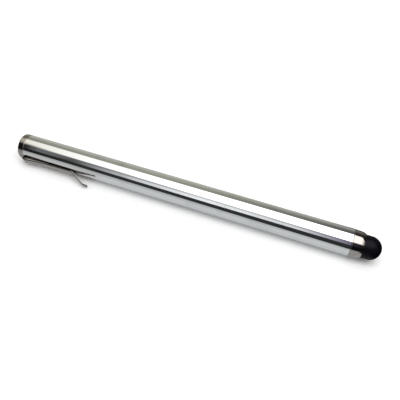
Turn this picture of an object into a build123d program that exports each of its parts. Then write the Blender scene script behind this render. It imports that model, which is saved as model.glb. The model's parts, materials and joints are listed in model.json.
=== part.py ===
from build123d import *
import os
from math import asin, atan2, cos, degrees, hypot, sin

os.makedirs("parts", exist_ok=True)

# A touch-screen stylus pen of polished metal, lying on a flat surface with its clip touching it.
# Millimetres. The pen's axis is parallel to X, tail towards -X and rubber tip towards +X, and +Z is up.
# The origin is on the surface, under the middle of the whole pen's length and width.

# Barrel, a plain drawn tube
barrel_radius = 4.5
barrel_wall = 0.5
barrel_length = 117.1
edge_break = 0.12

# Fits shared by several pieces
seam_gap = 0.05
thread_clearance = 0.05
slide_clearance = 0.1
rest_clearance = 0.15
cut_overrun = 1.0

# End cap and the bush that its stud screws into
cap_band = 2.3
cap_edge_radius = 0.45
stud_radius = 2.2
stud_length = 6.0
stud_chamfer = 0.4
rear_bush_length = 7.5

# Clip, one bent strip of spring steel, drawn as a clamped foot and a springing arm
clip_width = 3.0
clip_lip_width = 1.8
clip_thickness = 0.5
clip_tip_round = 0.7
clip_root_lift = 0.8
clip_root_bend = 0.5
clip_landing = 8.5
clip_landing_bend = 6.0
clip_run = 20.0
clip_run_bend = 1.5
clip_reach = 25.8
clip_flare_rise = 3.1
clip_lip = 1.5
clip_lip_bend = 0.8
clip_hinge_lift = 0.1
clip_hinge_gap = 0.06
foot_eye_clearance = 0.15

# Nose: the bush in the tube's front end and the ring that screws into it
front_bush_length = 6.0
front_bush_wall = 0.5
ring_band = 3.7
ring_taper = 0.15
ring_rounding = 1.3
ring_rim = 0.06
spigot_length = 3.5
spigot_wall = 0.45
lip_thickness = 0.8
lip_depth = 1.25

# Rubber tip, a hollow dome on a neck with a bead behind the ring's lip
dome_radius = 3.8
tip_skirt = 2.0
tip_wall = 1.0
tip_travel = 0.8
skirt_entry = 0.35
bead_height = 0.4
bead_thickness = 0.9

# Core, the metal plug that carries the rubber and passes the touch on to the barrel
core_flange_length = 1.8
core_stem_reach = 1.7
core_stem_chamfer = 0.3

# Stations along the pen, counted from the tail's flat end
tube_back = cap_band
tube_front = tube_back + barrel_length
ring_front = tube_front + ring_band
dome_centre = ring_front + tip_skirt
overall_length = dome_centre + dome_radius

# The clip's middle surface where it lies on the barrel and at its lip, and the lip's outer face
touch_radius = barrel_radius + slide_clearance + clip_thickness / 2
clip_lip_middle = touch_radius + clip_flare_rise
clip_lip_outer = clip_lip_middle + clip_thickness / 2

# The clip's angle below level, where the lower edge of its lip meets the surface
clip_edge_reach = hypot(clip_lip_outer, clip_lip_width / 2)
clip_angle = asin(barrel_radius / clip_edge_reach) - atan2(clip_lip_width / 2, clip_lip_outer)

# How far the lip's upper edge stands out sideways sets where the pen's axis lies
clip_side_reach = clip_lip_outer * cos(clip_angle) + clip_lip_width / 2 * sin(clip_angle)

tail_point = Vector(-overall_length / 2, (clip_side_reach - barrel_radius) / 2, barrel_radius)
pen_axis = Axis(tail_point, (1, 0, 0))
turning_plane = Plane(tail_point, x_dir=(1, 0, 0), z_dir=(0, -1, 0))
clip_plane = Plane(tail_point, x_dir=(1, 0, 0), z_dir=(0, sin(clip_angle), -cos(clip_angle)))
clip_plan = Plane(tail_point, x_dir=(1, 0, 0), z_dir=clip_plane.y_dir)
foot_plane = Plane(tail_point + Vector(tube_back, 0, 0), x_dir=clip_plane.y_dir, z_dir=(1, 0, 0))


# Barrel tube, open at both ends, with a notch in its back rim for the clip
bore_radius = barrel_radius - barrel_wall
notch_depth = clip_thickness + slide_clearance
notch_width = clip_width + 2 * slide_clearance
with BuildPart() as barrel_tube:
    with BuildSketch(turning_plane):
        with BuildLine():
            Polyline(
                (tube_back, bore_radius),
                (tube_front, bore_radius),
                (tube_front, barrel_radius - edge_break),
                (tube_front - edge_break, barrel_radius),
                (tube_back + edge_break, barrel_radius),
                (tube_back, barrel_radius - edge_break),
                close=True,
            )
        make_face()
    revolve(axis=pen_axis)
    with BuildSketch(foot_plane.offset(-cut_overrun)):
        Rectangle(barrel_radius + cut_overrun, notch_width, align=(Align.MIN, Align.CENTER))
    extrude(amount=cut_overrun + notch_depth, mode=Mode.SUBTRACT)
barrel_tube.part.label = "barrel_tube"
export_step(barrel_tube.part, "parts/barrel_tube.step")


# Rear bush, pressed into the tube behind the clip's foot
with BuildPart() as rear_bush:
    with BuildSketch(foot_plane.offset(clip_thickness)):
        Circle(bore_radius)
        Circle(stud_radius + thread_clearance, mode=Mode.SUBTRACT)
    extrude(amount=rear_bush_length)
    chamfer(rear_bush.edges().filter_by(GeomType.CIRCLE).group_by(SortBy.RADIUS)[0], edge_break)
rear_bush.part.label = "rear_bush"
export_step(rear_bush.part, "parts/rear_bush.step")


# End cap, a turned button with a flat end whose stud goes through the foot into the rear bush
with BuildPart() as end_cap:
    with BuildSketch(turning_plane):
        with BuildLine():
            flat = Line((0, 0), (0, barrel_radius - cap_edge_radius))
            edge = TangentArc(flat @ 1, (cap_edge_radius, barrel_radius), tangent=flat % 1)
            Polyline(
                edge @ 1,
                (cap_band - edge_break, barrel_radius),
                (cap_band, barrel_radius - edge_break),
                (cap_band, stud_radius),
                (cap_band + stud_length - stud_chamfer, stud_radius),
                (cap_band + stud_length, stud_radius - stud_chamfer),
                (cap_band + stud_length, 0),
                flat @ 0,
            )
        make_face()
    revolve(axis=pen_axis)
end_cap.part.label = "end_cap"
export_step(end_cap.part, "parts/end_cap.step")


# Clip foot, an eye round the stud with a tongue that leaves through the tube's notch
hinge_radius = barrel_radius + clip_hinge_lift
with BuildPart() as clip_foot:
    with BuildSketch(foot_plane):
        Circle(bore_radius - slide_clearance)
        Rectangle(hinge_radius - clip_hinge_gap / 2, clip_width, align=(Align.MIN, Align.CENTER))
        Circle(stud_radius + foot_eye_clearance, mode=Mode.SUBTRACT)
    extrude(amount=clip_thickness)
clip_foot.part.label = "clip_foot"
export_step(clip_foot.part, "parts/clip_foot.step")


# Clip arm, bent forward at its root, landing on the barrel, then narrowing and flaring away to a short lip
strip_middle = tube_back + clip_thickness / 2
root_radius = barrel_radius + clip_root_lift + clip_thickness / 2
arm_bends = (clip_root_bend, clip_landing_bend, clip_run_bend, clip_lip_bend)
clip_flare_start = tube_back + clip_run
clip_lip_start = tube_back + clip_reach
clip_lip_end = clip_lip_start + clip_lip
with BuildPart() as clip_arm:
    with BuildLine(clip_plane) as arm_path:
        FilletPolyline(
            (strip_middle, hinge_radius + clip_hinge_gap / 2),
            (strip_middle, root_radius),
            (tube_back + clip_landing, touch_radius),
            (clip_flare_start, touch_radius),
            (clip_lip_start, clip_lip_middle),
            (clip_lip_end + cut_overrun, clip_lip_middle),
            radius=arm_bends,
        )
    with BuildSketch(Plane(arm_path.line @ 0, x_dir=(1, 0, 0), z_dir=arm_path.line % 0)):
        Rectangle(clip_thickness, clip_width + cut_overrun)
    sweep(path=arm_path.line)
    with BuildSketch(clip_plan) as arm_outline:
        with BuildLine():
            Polyline(
                (tube_back - cut_overrun, -clip_width / 2),
                (tube_back - cut_overrun, clip_width / 2),
                (clip_flare_start, clip_width / 2),
                (clip_lip_start, clip_lip_width / 2),
                (clip_lip_end, clip_lip_width / 2),
                (clip_lip_end, -clip_lip_width / 2),
                (clip_lip_start, -clip_lip_width / 2),
                (clip_flare_start, -clip_width / 2),
                close=True,
            )
        make_face()
        fillet(arm_outline.vertices().group_by(Axis.X)[-1], clip_tip_round)
    extrude(amount=clip_lip_outer + cut_overrun, mode=Mode.INTERSECT)
clip_arm.part.label = "clip_arm"
export_step(clip_arm.part, "parts/clip_arm.step")


# Front bush, pressed flush into the tube's front end
spigot_radius = bore_radius - front_bush_wall - thread_clearance
front_plane = foot_plane.offset(barrel_length)
with BuildPart() as front_bush:
    with BuildSketch(front_plane):
        Circle(bore_radius)
        Circle(bore_radius - front_bush_wall, mode=Mode.SUBTRACT)
    extrude(amount=-front_bush_length)
    chamfer(front_bush.edges().filter_by(GeomType.CIRCLE).group_by(SortBy.RADIUS)[0], edge_break)
front_bush.part.label = "front_bush"
export_step(front_bush.part, "parts/front_bush.step")


# Nose ring, screwed into the front bush, with a lip that traps the rubber's bead
ring_back = tube_front + seam_gap
ring_shoulder = barrel_radius - ring_taper
ring_mouth = dome_radius + slide_clearance
chamber_radius = spigot_radius - spigot_wall
bead_radius = chamber_radius - slide_clearance
neck_radius = bead_radius - bead_height
lip_radius = neck_radius + slide_clearance
lip_front = ring_front - lip_depth
lip_back = lip_front - lip_thickness
with BuildPart() as nose_ring:
    with BuildSketch(turning_plane):
        with BuildLine():
            outside = Polyline(
                (ring_back - spigot_length, chamber_radius),
                (ring_back - spigot_length, spigot_radius - edge_break),
                (ring_back - spigot_length + edge_break, spigot_radius),
                (ring_back, spigot_radius),
                (ring_back, barrel_radius - edge_break),
                (ring_back + edge_break, barrel_radius),
                (ring_front - ring_rounding, ring_shoulder),
            )
            nose = TangentArc(outside @ 1, (ring_front, ring_mouth + ring_rim), tangent=outside % 1)
            Polyline(
                nose @ 1,
                (ring_front, ring_mouth),
                (lip_front, ring_mouth),
                (lip_front, lip_radius),
                (lip_back, lip_radius),
                (lip_back, chamber_radius),
                outside @ 0,
            )
        make_face()
    revolve(axis=pen_axis)
nose_ring.part.label = "nose_ring"
export_step(nose_ring.part, "parts/nose_ring.step")


# Rubber tip, one moulding of dome, skirt, neck and bead, hollow all through
bead_front = lip_back - seam_gap
bead_back = bead_front - bead_thickness
skirt_back = ring_front - skirt_entry
hollow_radius = dome_radius - tip_wall
hollow_back = skirt_back + tip_wall
neck_bore = neck_radius - tip_wall
with BuildPart() as rubber_tip:
    with BuildSketch(turning_plane):
        with BuildLine():
            underside = Polyline(
                (bead_back, neck_bore),
                (bead_back, bead_radius),
                (bead_front, bead_radius),
                (bead_front, neck_radius),
                (skirt_back, neck_radius),
                (skirt_back, dome_radius),
                (dome_centre, dome_radius),
            )
            dome = TangentArc(underside @ 1, (overall_length, 0), tangent=(1, 0))
            crown = Line(dome @ 1, (dome_centre + hollow_radius, 0))
            hollow = TangentArc((dome_centre, hollow_radius), crown @ 1, tangent=(1, 0))
            Polyline(
                hollow @ 0,
                (hollow_back, hollow_radius),
                (hollow_back, neck_bore),
                underside @ 0,
            )
        make_face()
    revolve(axis=pen_axis)
rubber_tip.part.label = "rubber_tip"
export_step(rubber_tip.part, "parts/rubber_tip.step")


# Tip core, a flanged plug inside the ring's spigot whose stem reaches into the rubber's neck
core_front = bead_back - tip_travel - rest_clearance
core_back = core_front - core_flange_length
stem_radius = neck_bore - slide_clearance
stem_front = hollow_back + core_stem_reach
with BuildPart() as tip_core:
    with BuildSketch(turning_plane):
        with BuildLine():
            Polyline(
                (core_back, 0),
                (core_back, chamber_radius - thread_clearance),
                (core_front, chamber_radius - thread_clearance),
                (core_front, stem_radius),
                (stem_front - core_stem_chamfer, stem_radius),
                (stem_front, stem_radius - core_stem_chamfer),
                (stem_front, 0),
                close=True,
            )
        make_face()
    revolve(axis=pen_axis)
tip_core.part.label = "tip_core"
export_step(tip_core.part, "parts/tip_core.step")

print(f"overall length {overall_length:.2f}, clip {degrees(clip_angle):.2f} degrees below level")
print(f"axis at y {tail_point.Y:.4f}, z {tail_point.Z:.4f}, tail at x {tail_point.X:.4f}")
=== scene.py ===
# %% [markdown]
# A touch-screen stylus pen, lying on a pale table.
# The real pen is a polished metal tube with a cap at its tail, a sprung clip, a nose ring and a black rubber
# dome. The frame holds how it is built, at true size. This script gives each visible piece its finished shape
# and surface, then lights the pen softly and sets up the camera for its photograph.

# %% Load the frame
import json
from math import atan2, pi, radians

import bmesh
import bpy
import numpy as np
from mathutils import Matrix, Vector


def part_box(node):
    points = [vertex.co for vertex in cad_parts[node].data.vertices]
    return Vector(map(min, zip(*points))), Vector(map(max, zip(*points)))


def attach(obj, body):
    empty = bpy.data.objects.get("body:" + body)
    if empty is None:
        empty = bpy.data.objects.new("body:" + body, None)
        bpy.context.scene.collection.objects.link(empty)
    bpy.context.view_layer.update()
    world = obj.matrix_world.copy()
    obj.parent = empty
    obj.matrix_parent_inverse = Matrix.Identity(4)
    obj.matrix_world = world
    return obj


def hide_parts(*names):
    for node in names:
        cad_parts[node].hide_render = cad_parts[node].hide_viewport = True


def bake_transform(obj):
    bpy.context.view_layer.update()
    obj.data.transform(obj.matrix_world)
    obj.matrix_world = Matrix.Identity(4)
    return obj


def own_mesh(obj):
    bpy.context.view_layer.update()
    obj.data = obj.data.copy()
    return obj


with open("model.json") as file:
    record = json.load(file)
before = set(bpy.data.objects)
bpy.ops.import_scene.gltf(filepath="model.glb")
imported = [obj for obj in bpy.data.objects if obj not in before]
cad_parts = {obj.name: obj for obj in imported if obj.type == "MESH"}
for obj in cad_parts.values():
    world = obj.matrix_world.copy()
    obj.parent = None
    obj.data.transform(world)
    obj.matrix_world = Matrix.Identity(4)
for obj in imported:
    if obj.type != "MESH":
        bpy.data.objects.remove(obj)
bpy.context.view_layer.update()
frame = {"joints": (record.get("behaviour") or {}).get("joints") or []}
joints = {joint["name"]: joint for joint in frame["joints"]}

# %% [markdown]
# Every piece is round about one line, the pen's axis, apart from the clip.
# So a few stations along X and a few radii place them all. They are read from the frame's nodes, not typed
# again, which keeps the dressed pen on its construction when that changes.

# %% Measure the pen
MM = 0.001
FORWARD = np.array([1.0, 0.0, 0.0])
tube_low, tube_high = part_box("barrel_tube")
cap_low, cap_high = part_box("end_cap")
ring_low, ring_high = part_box("nose_ring")
tip_low, tip_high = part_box("rubber_tip")
foot_low, foot_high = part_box("clip_foot")
arm_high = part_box("clip_arm")[1]
axis_y = (tube_low.y + tube_high.y) / 2
axis_z = (tube_low.z + tube_high.z) / 2
barrel_radius = (tube_high.z - tube_low.z) / 2
tail, tube_back, tube_front = cap_low.x, tube_low.x, tube_high.x
ring_front, crown = ring_high.x, tip_high.x
strip_thickness, lip_end = foot_high.x - foot_low.x, arm_high.x
print(f"pen {(crown - tail) / MM:.1f} mm long, barrel {2 * barrel_radius / MM:.2f} mm across")

# %% [markdown]
# A turned piece is a profile carried round the axis. Real turned edges are never sharp: each corner of a
# profile gets an arc that touches both of its sides. The arc's points also carry a weight of 1, which the
# finishes use later to show where hands and pockets have rubbed an edge, and on the clip to lay painted
# shade.


# %% Profile helpers
def rounded(corners, radii, steps=8, fade=0.1 * MM):
    """A line through (x, r) corners, with an arc of its own radius at each corner between the ends.

    The arc starts and ends radius / tan(half the corner's angle) away from its corner, and its points swing
    about the arc's centre from the first touching point to the last. Returns the points, and a weight that
    is 1 on the arcs and 0 from a short fade away.
    """
    corners = np.array(corners, float)
    line, weight = [corners[:1]], [np.zeros(1)]
    for before, at, after, radius in zip(corners[:-2], corners[1:-1], corners[2:], radii):
        if radius == 0:
            line.append(at[None])
            weight.append(np.zeros(1))
            continue
        back, on = ((v - at) / np.linalg.norm(v - at) for v in (before, after))
        half = np.arccos(back @ on) / 2
        cut = radius / np.tan(half)
        centre = at + (back + on) / np.linalg.norm(back + on) * radius / np.sin(half)
        swing = pi - 2 * half
        t = np.linspace(0, 1, steps + 1)[:, None]
        first, last = at + back * cut - centre, at + on * cut - centre
        arc = centre + (np.sin((1 - t) * swing) * first + np.sin(t * swing) * last) / np.sin(swing)
        line.append(np.vstack([at + back * (cut + fade), arc, at + on * (cut + fade)]))
        weight.append(np.r_[0, np.ones(steps + 1), 0])
    line.append(corners[-1:])
    weight.append(np.zeros(1))
    return np.vstack(line), np.concatenate(weight)


def quarter_round(centre_x, radius, steps=48):
    """A quarter circle from the side to the pole.

    For angles a from 0 to 90°, x = centre + radius·sin(a) and r = radius·cos(a).
    """
    a = np.linspace(0, pi / 2, steps + 1)
    return np.stack([centre_x + radius * np.sin(a), radius * np.cos(a)], axis=1)


def turned(profile, angles, shape=None):
    """The grid of a turned surface.

    A profile point (x, r) at angle a goes to (x, axis + r·cos(a), axis + r·sin(a)).
    shape, where given, first changes the whole arrays of x and r from x, r and a.
    """
    x, r = (profile[:, [k]] + 0 * angles for k in (0, 1))
    a = angles + 0 * x
    if shape:
        x, r = shape(x, r, a)
    return np.stack([x, axis_y + r * np.cos(a), axis_z + r * np.sin(a)], axis=-1)


COLUMNS = 256
around = np.linspace(0, 2 * pi, COLUMNS, endpoint=False)
print("columns round the pen:", COLUMNS)

# %% [markdown]
# One helper makes the meshes. It takes grids of points, joins neighbours into quads, merges the points that
# meet at a pole or a seam, and turns all faces outwards. Arcs are fine enough to shade smooth, and true
# corners stay crisp.

# %% Mesh helper
MERGE_GAP, CREASE = 1e-7, radians(35)


def piece(name, *grids):
    """A mesh object from grids of points, each with its edge weights and whether its rows go round.

    Row i and column j are joined to the next row and the next column. Columns always go round, and the last
    row of a loop meets its first. Weights come as one column or one row, and are spread over the grid.
    """
    points, weights, quads, start = [], [], [], 0
    for grid, weight, loop in grids:
        rows, columns = grid.shape[:2]
        i = np.arange(rows if loop else rows - 1)[:, None]
        j = np.arange(columns)[None]
        here, there = i * columns, (i + 1) % rows * columns
        beside = (j + 1) % columns
        corners = np.stack([here + j, here + beside, there + beside, there + j], axis=-1)
        quads.append(start + corners.reshape(-1, 4))
        points.append(grid.reshape(-1, 3))
        weights.append(np.broadcast_to(weight, (rows, columns)).ravel())
        start += rows * columns
    mesh = bpy.data.meshes.new(name)
    mesh.from_pydata(np.vstack(points).tolist(), [], np.vstack(quads).tolist())
    edge = mesh.attributes.new("edge", "FLOAT", "POINT")
    edge.data.foreach_set("value", np.concatenate(weights).astype(np.float32))
    work = bmesh.new()
    work.from_mesh(mesh)
    bmesh.ops.remove_doubles(work, verts=work.verts, dist=MERGE_GAP)
    bmesh.ops.recalc_face_normals(work, faces=work.faces)
    work.to_mesh(mesh)
    work.free()
    mesh.shade_smooth()
    mesh.set_sharp_from_angle(angle=CREASE)
    made = bpy.data.objects.new(name, mesh)
    bpy.context.scene.collection.objects.link(made)
    print(f"{name}: {len(mesh.polygons)} faces, {max(made.dimensions) / MM:.2f} mm at most")
    return made


# %% [markdown]
# The barrel is a drawn tube with a wall of half a millimetre. Its back rim has a notch, where the clip's
# strip comes out from under the cap. A boolean cut could make the notch, but it would leave long slivers in
# a mirror surface. Here the rim itself is a function of the angle: inside the notch, no point may lie
# further back than its floor.

# %% Barrel
barrel_wall, rim_round = 0.5 * MM, 0.1 * MM
notch_width, notch_clearance, notch_wall = 3.2 * MM, 0.1 * MM, radians(0.02)
across = np.array(joints["clip_flex"]["axis"])
clip_out = np.cross(across, FORWARD)
clip_turn = atan2(clip_out[2], clip_out[1]) % (2 * pi)
notch_floor = tube_back + strip_thickness + notch_clearance
notch_half = notch_width / 2 / barrel_radius


def notched(x, r, a):
    """x, but never further back than the notch's floor where the angle is within the notch's half width."""
    off = np.abs((a - clip_turn + pi) % (2 * pi) - pi)
    return np.where(off < notch_half, np.maximum(x, notch_floor), x), r


bore = barrel_radius - barrel_wall
middle = (tube_back + tube_front) / 2
tube_line, tube_edge = rounded(
    [(middle, bore), (tube_back, bore), (tube_back, barrel_radius), (tube_front, barrel_radius),
     (tube_front, bore), (middle, bore)],
    [rim_round] * 4,
)
walls = [clip_turn + side * (notch_half + step) for side in (-1, 1) for step in (-notch_wall, notch_wall)]
tube_angles = np.sort(np.r_[around, np.array(walls) % (2 * pi)])
barrel = piece("barrel", (turned(tube_line, tube_angles, notched), tube_edge[:, None], True))
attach(barrel, "barrel")
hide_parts("barrel_tube")

# %% [markdown]
# The end cap is a turned button: a flat end, a well rounded outer edge and a fine groove where it meets the
# tube. Its stud runs forward into the tail. A bevelled cylinder would do for the button alone. One profile
# from the middle of the end to the tip of the stud takes in the groove and the stud as well.

# %% End cap
cap_edge_round = 0.45 * MM
stud_radius, stud_chamfer = 2.2 * MM, 0.4 * MM
stud_front = cap_high.x
cap_line, cap_edge = rounded(
    [(tail, 0), (tail, barrel_radius), (tube_back, barrel_radius), (tube_back, stud_radius),
     (stud_front - stud_chamfer, stud_radius), (stud_front, stud_radius - stud_chamfer), (stud_front, 0)],
    [cap_edge_round, rim_round, 0, 0, 0],
)
cap = piece("end_cap_button", (turned(cap_line, around), cap_edge[:, None], False))
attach(cap, "barrel")
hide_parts("end_cap")

# %% [markdown]
# The nose ring closes the front. Its outside runs on from the barrel, tapers very little and rolls over at
# the front. Behind it a spigot screws into the tube. A plain cylinder could stand for the screw thread, but
# it shows when the ring is unscrewed. So it is a real helix: the radius follows a rounded ridge whose phase
# is the station along the axis in pitches less the angle in turns. It fades out at both ends of the spigot.

# %% Nose ring helpers
seam_gap = 0.05 * MM
ring_back = tube_front + seam_gap
spigot_radius = 3.45 * MM
thread_pitch, thread_depth, thread_fade = 0.5 * MM, 0.2 * MM, 0.4 * MM
thread_rows, groove_fullness = 120, 0.6


def tangent_arc(start, heading, end, steps=24):
    """An arc that leaves start along heading and ends at end.

    With b the angle from the heading to the chord, the radius is half the chord / sin(b), and the point that
    has swung by a lies radius·sin(a) along the heading and radius·(1 - cos(a)) to its side.
    """
    start, end, heading = np.array(start), np.array(end), np.array(heading) / np.linalg.norm(heading)
    chord = end - start
    side = np.array([heading[1], -heading[0]])
    bend = np.arctan2(chord @ side, chord @ heading)
    radius = np.linalg.norm(chord) / 2 / np.sin(bend)
    a = np.linspace(0, 2 * bend, steps + 1)[:, None]
    return start + radius * (np.sin(a) * heading + (1 - np.cos(a)) * side)


def threaded(x, r, a):
    """r, less a helical groove on the spigot.

    The groove's depth is a wave from 0 to 1 of x / pitch - a / turn, raised to a power that fills it out. It
    starts half a fade from each end of the spigot.
    """
    wave = 0.5 - 0.5 * np.cos(2 * pi * x / thread_pitch - a)
    room = np.minimum(x - ring_low.x, ring_back - x) / thread_fade
    groove = thread_depth * wave**groove_fullness * np.clip(room - 0.5, 0, 1)
    return x, np.where(np.isclose(r, spigot_radius), r - groove, r)


print(f"spigot {(ring_back - ring_low.x) / MM:.1f} mm long, {2 * spigot_radius / MM:.1f} mm across")

# %% [markdown]
# The ring's profile starts on the spigot, turns out along the seam, follows the outside to the rolled front
# edge, and comes back inside: the mouth round the rubber, the lip that holds the rubber, and the chamber.

# %% Nose ring
ring_taper, ring_roll, ring_rim = 0.15 * MM, 1.3 * MM, 0.06 * MM
mouth_radius, mouth_depth = 3.9 * MM, 1.25 * MM
ring_lip_radius, ring_lip_length, chamber_radius = 2.6 * MM, 0.8 * MM, 3.0 * MM
ring_lip_front = ring_front - mouth_depth
ring_lip_back = ring_lip_front - ring_lip_length
spigot_x = np.linspace(ring_low.x, ring_back, thread_rows + 1)
spigot_line = np.stack([spigot_x, np.full_like(spigot_x, spigot_radius)], axis=1)
seam_edge, shoulder = (ring_back, barrel_radius), (ring_front - ring_roll, barrel_radius - ring_taper)
side_line, side_edge = rounded([(ring_back, spigot_radius), seam_edge, shoulder], [rim_round])
roll = tangent_arc(shoulder, np.subtract(shoulder, seam_edge), (ring_front, mouth_radius + ring_rim))
ring_inside = [
    (ring_front, mouth_radius), (ring_lip_front, mouth_radius), (ring_lip_front, ring_lip_radius),
    (ring_lip_back, ring_lip_radius), (ring_lip_back, chamber_radius), (ring_low.x, chamber_radius)]
ring_line = np.vstack([spigot_line, side_line[1:], roll[1:], ring_inside])
ring_edge = np.zeros(len(ring_line))
ring_edge[thread_rows + 1:thread_rows + len(side_edge)] = side_edge[1:]
ring = piece("nose_ring_turned", (turned(ring_line, around, threaded), ring_edge[:, None], True))
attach(ring, "nose")
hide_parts("nose_ring")

# %% [markdown]
# The tip is one soft moulding: a hollow dome with a straight skirt, a neck and a bead that the ring's lip
# traps. On glass the dome gives way. The mesh rides on the tip's holder.

# %% Rubber tip
dome_radius = (tip_high.z - tip_low.z) / 2
dome_centre = crown - dome_radius
tip_wall, skirt_round, skirt_fade, skirt_entry = 1.0 * MM, 0.25 * MM, 0.05 * MM, 0.35 * MM
bead_length, bead_radius = 0.9 * MM, 2.9 * MM
neck_radius, neck_bore, dome_steps = 2.5 * MM, 1.5 * MM, 96
bead_back, bead_front = tip_low.x, tip_low.x + bead_length
skirt_back = ring_front - skirt_entry
hollow = quarter_round(dome_centre, dome_radius - tip_wall)[::-1]
neck_line, neck_edge = rounded(
    [hollow[-1], (skirt_back + tip_wall, dome_radius - tip_wall), (skirt_back + tip_wall, neck_bore),
     (bead_back, neck_bore), (bead_back, bead_radius), (bead_front, bead_radius), (bead_front, neck_radius),
     (skirt_back, neck_radius), (skirt_back, dome_radius), (dome_centre, dome_radius)],
    [0, 0, 0, skirt_round, skirt_round, 0, 0, skirt_round], fade=skirt_fade,
)
dome = quarter_round(dome_centre, dome_radius, dome_steps)
tip_line = np.vstack([hollow, neck_line[1:], dome[1:]])
tip_edge = np.r_[np.zeros(len(hollow)), neck_edge[1:], np.zeros(len(dome) - 1)]
tip = piece("rubber_dome", (turned(tip_line, around), tip_edge[:, None], False))
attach(tip, "tip_holder")
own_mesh(tip)
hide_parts("rubber_tip")

# %% [markdown]
# The clip is one strip of spring steel. It leaves the notch, turns forward in a tight bend, comes down on to
# the barrel, runs along it, then narrows and flares away to a short lip, so that a pocket's edge slips under
# it. Bending a box with modifiers would blur its bends. Here a bent line gives the way, and a rounded
# rectangle is carried along it.

# %% Clip line and section
strip_width, lip_width, strip_edge_round = 3.0 * MM, 1.8 * MM, 0.18 * MM
clip_gap, root_rise, lip_rise = 0.1 * MM, 0.8 * MM, 3.1 * MM
landing, run, reach = tube_back + 8.5 * MM, tube_back + 20.0 * MM, tube_back + 25.8 * MM
root_bend, landing_bend, flare_bend, lip_bend, bend_steps = 0.5 * MM, 6.0 * MM, 1.5 * MM, 0.8 * MM, 32
eye_edge_round, eye_gap, stud_gap = 0.09 * MM, 0.1 * MM, 0.15 * MM
# The first width here is that of the band of painted shade on the strip's outer face.
shade_band_width, corner_fade = 0.9 * MM, 0.02 * MM
half_thick, half_wide = strip_thickness / 2, strip_width / 2
strip_middle = tube_back + half_thick
touch_radius = barrel_radius + clip_gap + half_thick
root_radius = barrel_radius + root_rise + half_thick
flare_radius = touch_radius + lip_rise
eye_outside, eye_inside = bore - eye_gap, stud_radius + stud_gap
strip_line, _ = rounded(
    [(strip_middle, eye_outside - eye_edge_round), (strip_middle, root_radius), (landing, touch_radius),
     (run, touch_radius), (reach, flare_radius), (lip_end, flare_radius)],
    [root_bend, landing_bend, flare_bend, lip_bend], steps=bend_steps)
section, section_corner = rounded(
    [(0, -half_thick), (half_wide, -half_thick), (half_wide, half_thick),
     (shade_band_width - half_wide, half_thick), (-half_wide, half_thick), (-half_wide, -half_thick),
     (0, -half_thick)],
    [strip_edge_round, strip_edge_round, 0, strip_edge_round, strip_edge_round], fade=corner_fade)
print("clip line of", len(strip_line), "points, section of", len(section) - 1)

# %% [markdown]
# Along the flare the strip narrows, and at the lip its corners are cut round. Both are only changes of the
# section's width along the way, so the whole strip is one grid. Its last rows draw in to a soft end.

# %% Clip strip
strip_rows, end_rows, tip_corner, end_round = 540, 40, 0.7 * MM, 0.12 * MM


def swept_strip(line, outline):
    """The strip's grid: the outline is carried along the line, square to it.

    Rows are even steps of the line's length, and get closer as a sine at its end. The half width falls evenly
    along the flare. At the end it follows the quarter circles of the tip's corners,
    half - corner + √(corner² - into²), and the last rows draw the outline in.
    """
    length = np.r_[0, np.cumsum(np.linalg.norm(np.diff(line, axis=0), axis=1))]
    corner_start = length[-1] - tip_corner
    closing = corner_start + tip_corner * np.sin(np.linspace(0, pi / 2, end_rows + 1))
    along = np.r_[np.linspace(0, corner_start, strip_rows), closing[1:]]
    station, out = (np.interp(along, length, line[:, k]) for k in (0, 1))
    heading = np.stack([np.gradient(station, along), np.gradient(out, along)], axis=1)
    heading /= np.linalg.norm(heading, axis=1, keepdims=True)
    into = np.clip(along - corner_start, 0, tip_corner)
    half = np.interp(station, [run, reach], [half_wide, lip_width / 2])
    width = (half - tip_corner + np.sqrt(tip_corner**2 - into**2)) / half_wide
    inset = np.clip(end_round - (along[-1] - along), 0, end_round)
    draw = 1 - (end_round - np.sqrt(end_round**2 - inset**2)) / strip_thickness
    wide, thick = outline[:, 0] * width[:, None], outline[:, 1] * draw[:, None]
    x = station[:, None] - thick * heading[:, 1:]
    radial = out[:, None] + thick * heading[:, :1]
    centre = np.array([0, axis_y, axis_z])
    grid = centre + x[..., None] * FORWARD + radial[..., None] * clip_out + wide[..., None] * across
    ends = grid[[0, -1]].mean(axis=1, keepdims=True) + 0 * grid[:1]
    return np.concatenate([ends[:1], grid, ends[1:]]), np.r_[station[0], station, station[-1]]


strip, strip_station = swept_strip(strip_line, section[:-1])
print("clip strip of", strip.shape[0], "rows and", strip.shape[1], "columns")

# %% [markdown]
# The strip's edge weights lay painted shade on the side that faces up. Its outer corner carries painted
# shade, and so does a band of the outer face beside it, at the root and on the flare. The side itself
# carries painted shade, for the shade between strip and barrel, at the root and from about the landing on.
# On the flare only the outer half of that side keeps it, and the inner half shows the bare steel.

# %% Clip weights
wide, thick = section[:-1].T
upper_side = wide < strip_edge_round + 2 * corner_fade - half_wide
on_outside, outer_half = np.isclose(thick, half_thick), thick > 0
# Painted shade: the weights below darken the clip's upper side where shade falls on it.
corner_shade = section_corner[:-1] * outer_half
face_shade_stops = [landing, run - 7 * MM, run - 3 * MM, run, run + 1.5 * MM]
side_shade_stops = [tube_back + 0.7 * MM, tube_back + 1.6 * MM, landing - 4 * MM, landing + 2.5 * MM]
inner_shade_stops = [run - MM, run + MM]
face_shade = np.interp(strip_station, face_shade_stops, [1, 0.45, 0, 0, 1])[:, None]
side_shade = np.interp(strip_station, side_shade_stops, [1, 0, 0, 1])[:, None]
inner_shade_share = np.interp(strip_station, inner_shade_stops, [1, 0])[:, None]
shaded_side = side_shade * np.where(outer_half, 1, inner_shade_share)
strip_painted_shade = upper_side * np.maximum(corner_shade, np.where(on_outside, face_shade, shaded_side))
print(f"dark share of the clip's points: {np.mean(strip_painted_shade > 0.5):.2f}")
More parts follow.
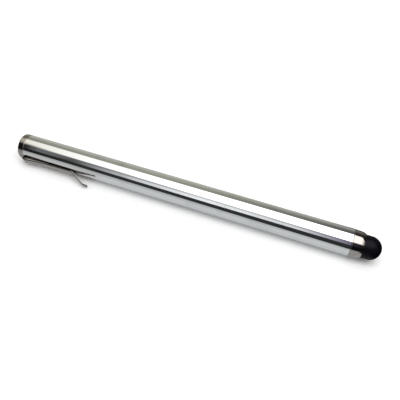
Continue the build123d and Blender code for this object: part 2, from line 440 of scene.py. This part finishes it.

# %% [markdown]
# The clip's foot, an eye round the stud, is a washer on the same mesh.

# %% Clip
eye_front, eye_steps = tube_back + strip_thickness, 3
eye_line, eye_edge = rounded(
    [(strip_middle, eye_inside), (tube_back, eye_inside), (tube_back, eye_outside), (eye_front, eye_outside),
     (eye_front, eye_inside), (strip_middle, eye_inside)],
    [0, eye_edge_round, eye_edge_round, 0], steps=eye_steps)
clip = piece("clip_strip", (strip, strip_painted_shade, False), (turned(eye_line, around), eye_edge[:, None], True))
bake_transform(clip)
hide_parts("clip_foot", "clip_arm")

# %% [markdown]
# A finish is a small tree of nodes. A few helpers keep those trees readable: one adds a node and sets its
# values, one joins an output to an input, and the others make and place node groups.


# %% Node helpers
def add(tree, kind, settings=None, **values):
    """Adds a node with properties from settings and inputs from values, whose names have _ for a space."""
    made = tree.nodes.new(kind)
    for key, value in (settings or {}).items():
        setattr(made, key, value)
    for key, value in values.items():
        made.inputs[key.replace("_", " ")].default_value = value
    return made


def join(tree, source, output, target, socket):
    """Joins one node's output to another node's input."""
    tree.links.new(source.outputs[output], target.inputs[socket])


def group(name, inputs, outputs):
    """A node group with named number or vector inputs and number outputs, and its two end nodes."""
    tree = bpy.data.node_groups.new(name, "ShaderNodeTree")
    for key, value in inputs.items():
        vector = value is None
        kind = "NodeSocketVector" if vector else "NodeSocketFloat"
        made = tree.interface.new_socket(key, in_out="INPUT", socket_type=kind)
        if not vector:
            made.default_value = value
    for key in outputs:
        tree.interface.new_socket(key, in_out="OUTPUT", socket_type="NodeSocketFloat")
    return tree, tree.nodes.new("NodeGroupInput"), tree.nodes.new("NodeGroupOutput")


def placed(tree, shared, **values):
    """A shared group placed in a material, with this material's own values."""
    return add(tree, "ShaderNodeGroup", {"node_tree": shared}, **values)


def pen_space(tree):
    """Object coordinates moved so that the pen's axis is the X axis."""
    where = add(tree, "ShaderNodeTexCoord")
    centred = add(tree, "ShaderNodeMapping", Location=(0, -axis_y, -axis_z))
    join(tree, where, "Object", centred, "Vector")
    return centred


print("node helpers ready")

# %% [markdown]
# Polished metal is never perfectly even. A buffing wheel leaves hairlines round the pen, handling leaves
# soft smudges, and worn edges lose their gloss. Steel and brass share these effects, so each is a node
# group, built once. Hairlines are noise that changes fast along the pen and slowly round it.

# %% Shared effects
hairlines, ends_in, ends_out = group(
    "hairlines", {"Vector": None, "Density": 2500.0, "Spread": 300.0}, ["Lines"])
squeeze = add(hairlines, "ShaderNodeCombineXYZ")
join(hairlines, ends_in, "Density", squeeze, "X")
join(hairlines, ends_in, "Spread", squeeze, "Y")
join(hairlines, ends_in, "Spread", squeeze, "Z")
stretched = add(hairlines, "ShaderNodeVectorMath", {"operation": "MULTIPLY"})
join(hairlines, ends_in, "Vector", stretched, 0)
join(hairlines, squeeze, 0, stretched, 1)
fine = add(hairlines, "ShaderNodeTexNoise", Scale=1.0, Detail=5.0, Roughness=0.65)
join(hairlines, stretched, 0, fine, "Vector")
join(hairlines, fine, 0, ends_out, "Lines")

smudges, ends_in, ends_out = group("smudges", {"Vector": None, "Size": 110.0, "Cover": 0.5}, ["Smudge"])
cloud = add(smudges, "ShaderNodeTexNoise", Detail=6.0, Roughness=0.62, Distortion=0.4)
join(smudges, ends_in, "Vector", cloud, "Vector")
join(smudges, ends_in, "Size", cloud, "Scale")
patch = add(smudges, "ShaderNodeMapRange", {"interpolation_type": "SMOOTHSTEP"}, From_Max=0.75)
join(smudges, cloud, 0, patch, "Value")
join(smudges, ends_in, "Cover", patch, "From Min")
join(smudges, patch, 0, ends_out, "Smudge")

rubbed, ends_in, ends_out = group("rubbed_edges", {"Vector": None, "Edge": 0.0, "Break": 900.0}, ["Wear"])
patchy = add(rubbed, "ShaderNodeTexNoise", Detail=4.0, Roughness=0.6)
join(rubbed, ends_in, "Vector", patchy, "Vector")
join(rubbed, ends_in, "Break", patchy, "Scale")
gone = add(rubbed, "ShaderNodeMath", {"operation": "MULTIPLY"})
join(rubbed, ends_in, "Edge", gone, 0)
join(rubbed, patchy, 0, gone, 1)
join(rubbed, gone, 0, ends_out, "Wear")
print("shared effects:", [tree.name for tree in (hairlines, smudges, rubbed)])

# %% [markdown]
# The metal finishes are one recipe with different values: a base colour that smudges dull a little and that
# changes at the edges, a roughness that rises with hairlines, smudges and worn edges, and a very shallow
# bump from the hairlines. Turned edges are rubbed bright. On the clip's strip the edge colour is dark and is
# painted shade.

# %% Metal recipe
line_share, smudge_share, wear_share = 0.05, 0.07, 0.2


def mixed(tree, factor, output):
    """A mix of two colours, A and B, by a node's output."""
    made = add(tree, "ShaderNodeMix", {"data_type": "RGBA"})
    join(tree, factor, output, made, "Factor")
    return made


def metal(name, color, dull, edge_color, gloss, line_depth, density):
    """A polished metal. Roughness = gloss + shares of hairlines, smudges and worn edges.

    The colour runs to dull in smudges, and to the edge colour along edges.
    """
    made = bpy.data.materials.new(name)
    made.use_nodes = True
    tree = made.node_tree
    shader = tree.nodes["Principled BSDF"]
    shader.inputs["Metallic"].default_value = 1.0
    place = pen_space(tree)
    lines = placed(tree, hairlines, Density=density)
    marks = placed(tree, smudges)
    worn = placed(tree, rubbed)
    for effect in (lines, marks, worn):
        join(tree, place, 0, effect, "Vector")
    edge = add(tree, "ShaderNodeAttribute", {"attribute_name": "edge"})
    join(tree, edge, "Fac", worn, "Edge")
    tint = mixed(tree, marks, 0)
    tint.inputs["A"].default_value = (*color, 1)
    tint.inputs["B"].default_value = (*dull, 1)
    edged = mixed(tree, edge, "Fac")
    edged.inputs["B"].default_value = (*edge_color, 1)
    join(tree, tint, "Result", edged, "A")
    join(tree, edged, "Result", shader, "Base Color")
    rough = add(tree, "ShaderNodeValue")
    rough.outputs[0].default_value = gloss
    for effect, share in ((lines, line_share), (marks, smudge_share), (worn, wear_share)):
        more = add(tree, "ShaderNodeMath", {"operation": "MULTIPLY_ADD"})
        more.inputs[1].default_value = share
        join(tree, effect, 0, more, 0)
        join(tree, rough, 0, more, 2)
        rough = more
    join(tree, rough, 0, shader, "Roughness")
    bump = add(tree, "ShaderNodeBump", Strength=1.0, Distance=line_depth)
    join(tree, lines, 0, bump, "Height")
    join(tree, bump, 0, shader, "Normal")
    return made


print("metal recipe ready")

# %% [markdown]
# The barrel is the brightest, with a mirror polish. The cap and the ring have a warmer, darker plating, the
# clip is duller spring steel, and the turned brass inside shows only when the nose is unscrewed.

# %% Metal finishes
steel = metal("polished_steel", color=(0.80, 0.80, 0.79), dull=(0.70, 0.70, 0.68),
              edge_color=(0.82, 0.82, 0.81), gloss=0.03, line_depth=6e-7, density=2500.0)
trim = metal("warm_polished_steel", color=(0.41, 0.37, 0.345), dull=(0.34, 0.305, 0.285),
             edge_color=(0.47, 0.43, 0.40), gloss=0.04, line_depth=6e-7, density=3000.0)
# The clip's dark edge colour is painted shade, laid where the strip's edge weights are.
spring = metal("spring_steel", color=(0.40, 0.375, 0.35), dull=(0.33, 0.305, 0.285),
               edge_color=(0.05, 0.046, 0.042), gloss=0.14, line_depth=1e-6, density=3500.0)
brass = metal("turned_brass", color=(0.72, 0.54, 0.27), dull=(0.48, 0.34, 0.16),
              edge_color=(0.76, 0.58, 0.30), gloss=0.16, line_depth=4e-6, density=5000.0)
finishes = {"barrel": steel, "end_cap_button": trim, "nose_ring_turned": trim, "clip_strip": spring,
            "rear_bush": brass, "front_bush": brass, "tip_core": brass}
for name, finish in finishes.items():
    bpy.data.objects[name].data.materials.clear()
    bpy.data.objects[name].data.materials.append(finish)
print("metal finishes on", ", ".join(finishes))

# %% [markdown]
# The rubber is soft black silicone with a skin like fine paper: almost no gloss, a faint grain from the
# mould, a sheen that is uneven where fingers touched it, and the pale dust that such rubber picks up.

# %% Rubber finish
rubber_black, dust_grey = (0.002, 0.0022, 0.0045, 1), (0.05, 0.05, 0.05, 1)
grain_depth = 0.02 * MM
rubber = bpy.data.materials.new("black_silicone")
rubber.use_nodes = True
tree = rubber.node_tree
shader = tree.nodes["Principled BSDF"]
shader.inputs["Specular IOR Level"].default_value = 0.1
place = pen_space(tree)
grain = add(tree, "ShaderNodeTexNoise", Scale=9000.0, Detail=3.0, Roughness=0.6)
join(tree, place, 0, grain, "Vector")
bump = add(tree, "ShaderNodeBump", Strength=0.5, Distance=grain_depth)
join(tree, grain, 0, bump, "Height")
join(tree, bump, 0, shader, "Normal")
marks = placed(tree, smudges, Size=260.0, Cover=0.48)
join(tree, place, 0, marks, "Vector")
sheen = add(tree, "ShaderNodeMapRange", To_Min=0.38, To_Max=0.5)
join(tree, marks, 0, sheen, "Value")
join(tree, sheen, 0, shader, "Roughness")
specks = add(tree, "ShaderNodeTexVoronoi", Scale=1500.0, Randomness=1.0)
join(tree, place, 0, specks, "Vector")
dust = add(tree, "ShaderNodeMapRange", From_Min=0.10, From_Max=0.03, To_Max=0.25)
join(tree, specks, "Distance", dust, "Value")
dusty = mixed(tree, dust, 0)
dusty.inputs["A"].default_value = rubber_black
dusty.inputs["B"].default_value = dust_grey
join(tree, dusty, "Result", shader, "Base Color")
tip.data.materials.append(rubber)
print("rubber finish on", tip.name)

# %% [markdown]
# The stage is what stands round the pen: a table, a tent and a flag. Each is a plain mesh with a bare
# material, and its colours run along ramps whose stops are given in millimetres.


# %% Stage helpers
def stage_object(name, points, faces):
    """An object of the given points and faces that stands with the stage."""
    mesh = bpy.data.meshes.new(name)
    mesh.from_pydata(points, [], faces)
    made = bpy.data.objects.new(name, mesh)
    bpy.context.scene.collection.objects.link(made)
    return made


def bare_material(name, wearer):
    """A material without its usual shader, for the stage. Returns its tree and the socket to fill."""
    made = bpy.data.materials.new(name)
    made.use_nodes = True
    tree = made.node_tree
    tree.nodes.remove(tree.nodes["Principled BSDF"])
    wearer.data.materials.append(made)
    return tree, tree.nodes["Material Output"].inputs["Surface"]


def shaded(tree, source, span, stops, peak=1.0):
    """A colour ramp over a span of millimetres about 0, from (place, brightness, tint) stops.

    A place p sits at 0.5 + p / span of the ramp, and its colour is brightness · tint / peak.
    """
    made = add(tree, "ShaderNodeValToRGB")
    slots = made.color_ramp.elements
    while len(slots) < len(stops):
        slots.new(0.5)
    for slot, (place, grey, tint) in zip(slots, stops):
        slot.position = 0.5 + place / span
        slot.color = (*(grey * part / peak for part in tint), 1)
    tree.links.new(source, made.inputs["Fac"])
    return made.outputs["Color"]


def faded(tree, source, low, high, under, over):
    """Two colours, mixed smoothly from under to over as a number rises from low to high."""
    share = add(tree, "ShaderNodeMapRange", {"interpolation_type": "SMOOTHSTEP"}, From_Min=low, From_Max=high)
    tree.links.new(source, share.inputs["Value"])
    made = mixed(tree, share, 0)
    tree.links.new(under, made.inputs["A"])
    tree.links.new(over, made.inputs["B"])
    return made.outputs["Result"]


def glowing(tree, color, strength=1.0):
    """The shader of a surface that shines with its own colour."""
    shine = add(tree, "ShaderNodeEmission", Strength=strength)
    tree.links.new(color, shine.inputs["Color"])
    return shine.outputs[0]


print("stage helpers ready")

# %% [markdown]
# The table is plain white paper, wide enough to run out of sight. The camera sees the paper brighter than the
# pen does, as when a picture's white is set on its background, and more so far off: the paper meets the room
# without an edge, and the pen's soft shadow stays.

# %% Table
half_table = 3.0
paper, paper_seen, paper_far = 0.93, 1.16, 1.5
near_reach, far_reach = 0.15, 0.6
corners = [(x * half_table, y * half_table, 0) for x, y in ((-1, -1), (1, -1), (1, 1), (-1, 1))]
table = stage_object("table", corners, [(0, 1, 2, 3)])
tree, surface = bare_material("white_paper", table)
path = add(tree, "ShaderNodeLightPath")
place = pen_space(tree)
far_off = add(tree, "ShaderNodeVectorMath", {"operation": "LENGTH"})
join(tree, place, 0, far_off, 0)
bright = add(tree, "ShaderNodeMapRange",
             From_Min=near_reach, From_Max=far_reach, To_Min=paper_seen, To_Max=paper_far)
join(tree, far_off, "Value", bright, "Value")
white = add(tree, "ShaderNodeMapRange", To_Min=paper)
join(tree, path, "Is Camera Ray", white, "Value")
join(tree, bright, 0, white, "To Max")
matte = add(tree, "ShaderNodeBsdfDiffuse")
join(tree, white, 0, matte, "Color")
print("table", 2 * half_table, "m wide")

# %% [markdown]
# The metal sees a greyer table, which glows with a painted reflection in place of the lit paper: blue-grey
# and fading towards the black flag on the near side, olive on the far side, and a painted shadow under the
# pen. Along the pen it has four stretches: under the clip, along the open barrel, past the nose and under the
# dome. Each runs softly into the next.

# %% Mirrored table
table_span = 80
plain, blue_grey = (1.0, 1.0, 1.0), (0.93, 0.97, 1.0)
olive, pale_olive = (0.97, 1.0, 0.87), (0.97, 1.0, 0.90)
split = add(tree, "ShaderNodeSeparateXYZ")
join(tree, place, 0, split, 0)
offset = add(tree, "ShaderNodeMapRange", From_Min=-table_span / 2 * MM, From_Max=table_span / 2 * MM)
join(tree, split, "Y", offset, "Value")
# The dark stops about 0 are painted shadow under the clip, the pen and the dome.
under_clip = [
    (-34, 0.45, (0.95, 0.98, 1.0)), (-9, 0.60, (0.97, 0.99, 1.0)), (-5, 0.56, (0.98, 0.99, 1.0)),
    (-3.7, 0.50, plain), (-3.2, 0.05, plain), (2.5, 0.03, plain), (6, 0.38, olive), (30, 0.50, pale_olive)]
open_table = [
    (-34, 0.45, blue_grey), (-15, 0.60, blue_grey), (-9, 0.72, blue_grey), (-4, 0.63, blue_grey),
    (-2, 0.26, blue_grey), (0, 0.09, plain), (2.5, 0.05, plain), (6, 0.38, olive), (30, 0.50, pale_olive)]
past_nose = [(-34, 0.45, blue_grey), (-4, 0.75, blue_grey), (-1, 0.1, plain), (3, 0.02, plain)]
under_dome = [(-34, 0.05, plain), (-4, 0.02, plain), (4, 0.01, plain)]
shown = shaded(tree, offset.outputs[0], table_span, under_clip)
for low, high, stretch in ((-37, -33, open_table), (54, 60, past_nose), (62.5, 66, under_dome)):
    ahead = shaded(tree, offset.outputs[0], table_span, stretch)
    shown = faded(tree, split.outputs["X"], low * MM, high * MM, shown, ahead)
either = add(tree, "ShaderNodeMixShader")
join(tree, path, "Is Glossy Ray", either, 0)
join(tree, matte, 0, either, 1)
tree.links.new(glowing(tree, shown), either.inputs[2])
tree.links.new(either.outputs[0], surface)
print("mirrored table of", len(tree.nodes), "nodes")

# %% [markdown]
# The room is one even white light, as in a light tent. It lights the paper a little less than it shows, so
# that the lamp can add its share.

# %% Room
room_light, room_seen = 0.72, 1.0
world = bpy.data.worlds.new("white_room")
bpy.context.scene.world = world
world.use_nodes = True
tree = world.node_tree
path = add(tree, "ShaderNodeLightPath")
in_view = add(tree, "ShaderNodeMath", {"operation": "MAXIMUM"})
join(tree, path, "Is Camera Ray", in_view, 0)
join(tree, path, "Is Glossy Ray", in_view, 1)
through = add(tree, "ShaderNodeMath", {"operation": "MAXIMUM"})
join(tree, in_view, 0, through, 0)
join(tree, path, "Is Transmission Ray", through, 1)
level = add(tree, "ShaderNodeMapRange", To_Min=room_light, To_Max=room_seen)
join(tree, through, 0, level, "Value")
join(tree, level, 0, tree.nodes["Background"], "Strength")
tree.nodes["Background"].inputs["Color"].default_value = (1, 1, 1, 1)
print("room lights at", room_light, "and shows at", room_seen)

# %% [markdown]
# A mirror shows its surroundings, so polished metal is lit by what stands round it. As in a product studio, a
# tent of panels arches over the pen: a white softbox overhead, a grey frame and a pale near wall in front of
# it, and a grey-green far wall. Only reflections see it. A picture wrapped round the world could do it too,
# but only close panels shift along the pen as real ones do. The mesh carries numbers that tell its colours
# where they are: the angle up from the near side, the angle above the softbox's lower edge, which climbs and
# softens towards the tail, the angle up to its upper edge, which comes down beyond the nose, and the place
# along the tent.


# %% Tent
def panel(name, grid, values):
    """An open sheet that only reflections see, with one number attribute for each of the given arrays."""
    rows, columns = grid.shape[:2]
    corner = np.arange(rows - 1)[:, None] * columns + np.arange(columns - 1)[None]
    quads = np.stack([corner, corner + 1, corner + columns + 1, corner + columns], axis=-1).reshape(-1, 4)
    made = stage_object(name, grid.reshape(-1, 3).tolist(), quads.tolist())
    for key, value in values.items():
        numbers = made.data.attributes.new(key, "FLOAT", "POINT").data
        numbers.foreach_set("value", value.astype(np.float32).ravel())
    made.visible_camera = made.visible_diffuse = made.visible_shadow = made.visible_volume_scatter = False
    return made


tent_radius, tent_half, tent_rows, tent_columns = 0.35, 0.6, 121, 121
lean = np.linspace(0, pi, tent_rows)[:, None]
share = np.linspace(-1, 1, tent_columns)[None]
round_off = tent_radius * np.sqrt(1 - share**2)
tent_y, tent_z = axis_y - round_off * np.cos(lean), axis_z + round_off * np.sin(lean)
tent_grid = np.stack([tent_half * share + 0 * lean, tent_y, tent_z], axis=-1)
station = tent_half * share / MM
angle = np.degrees(lean) + 0 * share
box_start = np.interp(station, [-265, -235, -54, 86], [65.5, 58.4, 54.4, 47.9])
box_soft = np.interp(station, [-265, -210], [5.0, 1.0])
box_taper = np.interp(station, [150, 300], [0.0, 12.0])
tent = panel("tent", tent_grid, {
    "angle": angle, "above": (angle - box_start) / box_soft, "past": angle + box_taper,
    "along": (share + 1) / 2 + 0 * lean})
print("tent", tent_half * 2, "m long,", len(tent.data.polygons), "faces")

# %% [markdown]
# Each panel has its own run of brightness from the tail's end to the nose's, and the panels are laid over one
# another by angle: near wall, frame, softbox, then the far wall. Towards its two ends the tent goes dark.

# %% Tent colours
peak, tent_span = 3.0, 2 * tent_half / MM
frame_edge, box_edge, box_end, far_rise = (-16.0, -11.5), (-3.0, 3.0), (108.0, 113.0), (125.0, 175.0)
brown, cool, violet = (1.3, 1.0, 0.7), (0.96, 0.99, 1.03), (1.0, 0.92, 1.3)
tent_end = (-560, 0.16, plain)
tree, surface = bare_material("tent_panels", tent)
up, above, past, along = (
    add(tree, "ShaderNodeAttribute", {"attribute_name": name}).outputs["Fac"]
    for name in ("angle", "above", "past", "along"))
near_wall = shaded(tree, along, tent_span, [
    tent_end, (-350, 0.02, brown), (-255, 0.03, plain), (-213, 0.09, plain), (-146, 0.72, cool),
    (-54, 1.12, cool), (38, 0.82, cool), (86, 0.25, violet), (103, 0.09, violet), (160, 0.03, violet)], peak)
frame_line = shaded(tree, along, tent_span, [
    tent_end, (-350, 0.02, brown), (-264, 0.01, plain), (-256, 0.16, cool), (-213, 0.14, cool),
    (-146, 0.385, cool), (-54, 0.72, cool), (38, 0.52, cool), (86, 0.21, violet), (103, 0.12, violet),
    (160, 0.03, violet)], peak)
softbox = shaded(tree, along, tent_span, [
    tent_end, (-420, 0.06, brown), (-340, 0.6, (1.05, 1.0, 0.82)), (-255, 1.03, (1.0, 1.0, 0.93)),
    (-213, 1.2, (1.0, 1.0, 0.97)), (-146, 1.5, plain), (-54, 2.4, plain), (30, 2.75, plain),
    (200, 2.6, plain), (420, 0.3, plain)], peak)
far_low = shaded(tree, along, tent_span, [
    tent_end, (-420, 0.04, (1.0, 1.0, 0.8)), (-255, 0.30, (1.0, 1.0, 0.87)), (-146, 0.38, olive),
    (-54, 0.31, olive), (38, 0.20, pale_olive), (86, 0.12, (0.98, 1.0, 0.92)), (110, 0.06, plain),
    (300, 0.02, plain)], peak)
far_high = shaded(tree, along, tent_span, [
    tent_end, (-420, 0.08, (1.0, 1.0, 0.8)), (-255, 0.52, (1.0, 1.0, 0.9)), (-146, 0.52, pale_olive),
    (-54, 0.50, olive), (38, 0.43, (0.99, 1.0, 0.93)), (86, 0.42, (1.0, 1.0, 0.95)),
    (300, 0.05, plain)], peak)
front = faded(tree, above, *frame_edge, near_wall, frame_line)
arch = faded(tree, above, *box_edge, front, softbox)
far_wall = faded(tree, up, *far_rise, far_low, far_high)
arch = faded(tree, past, *box_end, arch, far_wall)
tree.links.new(glowing(tree, arch, peak), surface)
print("tent colours of", len(tree.nodes), "nodes")

# %% [markdown]
# Photographers draw a crisp dark line along bright metal with a flag, a strip of black felt held close to it.
# Here it hangs on the near side, about two centimetres from the pen's axis. Its lower edge slopes up towards
# the tail, where the dark line is the narrowest, and its felt is blackest at its ends. Only reflections see
# it.

# %% Flag
flag_distance, flag_half, flag_columns, flag_rows = 21.0 * MM, 0.16, 129, 5
lower_slope, lower_start, lower_most = 0.037, 74 * MM, 4.8 * MM
upper_height, upper_slope, upper_run = 12.4 * MM, 0.03, 50 * MM
felt_tint = (0.9, 1.0, 1.0)
flag_x = np.linspace(-flag_half, flag_half, flag_columns)[None]
flag_bottom = np.clip(lower_slope * (lower_start - flag_x), 0, lower_most)
flag_top = upper_height + upper_slope * np.clip(-flag_x, 0, upper_run)
flag_z = flag_bottom + (flag_top - flag_bottom) * np.linspace(0, 1, flag_rows)[:, None]
flag_grid = np.stack([flag_x + 0 * flag_z, axis_y - flag_distance + 0 * flag_z, flag_z], axis=-1)
flag = panel("flag", flag_grid, {"along": 0.5 + flag_x / 2 / flag_half + 0 * flag_z})
tree, surface = bare_material("black_felt", flag)
along = add(tree, "ShaderNodeAttribute", {"attribute_name": "along"}).outputs["Fac"]
felt = shaded(tree, along, 2 * flag_half / MM, [
    (-78, 0.011, felt_tint), (-45, 0.033, felt_tint), (56, 0.033, felt_tint), (59, 0.010, felt_tint)])
tree.links.new(glowing(tree, felt), surface)
print("flag up to", flag_top.max() / MM, "mm high,", flag_distance / MM, "mm from the axis")

# %% [markdown]
# One large lamp hangs above the pen and a little in front of it. It lights the paper on the near side, so
# that the pen's soft shadow stays close there. The tent already stands for it in the metal, so the lamp
# itself stays out of the reflections.

# %% Lamp
lamp_height, lamp_front, lamp_along = 0.5, 0.1, 0.16
lamp_length, lamp_depth, lamp_watts = 0.7, 0.34, 1.05
lamp_data = bpy.data.lights.new("overhead", "AREA")
lamp_data.shape = "RECTANGLE"
lamp_data.size, lamp_data.size_y = lamp_length, lamp_depth
lamp_data.energy = lamp_watts
lamp = bpy.data.objects.new("overhead", lamp_data)
lamp.location = (lamp_along, axis_y - lamp_front, lamp_height)
lamp.rotation_euler = (atan2(lamp_front, lamp_height), 0, 0)
lamp.visible_glossy = False
bpy.context.scene.collection.objects.link(lamp)
print("lamp at", tuple(round(v, 3) for v in lamp.location))

# %% [markdown]
# The camera's place was worked out from the picture: the pen's outline, its seams and its dome fix where the
# lens stood, from the middle of the pen's tail. A round pen looks the same when the camera swings about its
# axis, so the clip alone tells how far round it was.

# %% Camera
eye = Vector((102.2, -89.8, 126.1)) * MM
forward = Vector((-0.2099, 0.5633, -0.7991))
clip_seen, sensor_width, focal_length = radians(13.25), 36.0, 42.22
swing = atan2(-clip_out[2], -clip_out[1]) - clip_seen
camera_data = bpy.data.cameras.new("camera")
camera_data.sensor_width, camera_data.lens = sensor_width, focal_length
camera_data.clip_start, camera_data.clip_end = 0.01, 20.0
camera = bpy.data.objects.new("camera", camera_data)
looking = Matrix.Translation(eye) @ forward.to_track_quat("-Z", "Y").to_matrix().to_4x4()
camera.matrix_world = Matrix.Translation((tail, axis_y, axis_z)) @ Matrix.Rotation(swing, 4, "X") @ looking
bpy.context.scene.collection.objects.link(camera)
bpy.context.scene.camera = camera
bpy.context.scene.view_settings.view_transform = "Standard"
print("camera at", tuple(round(v, 3) for v in camera.matrix_world.translation))
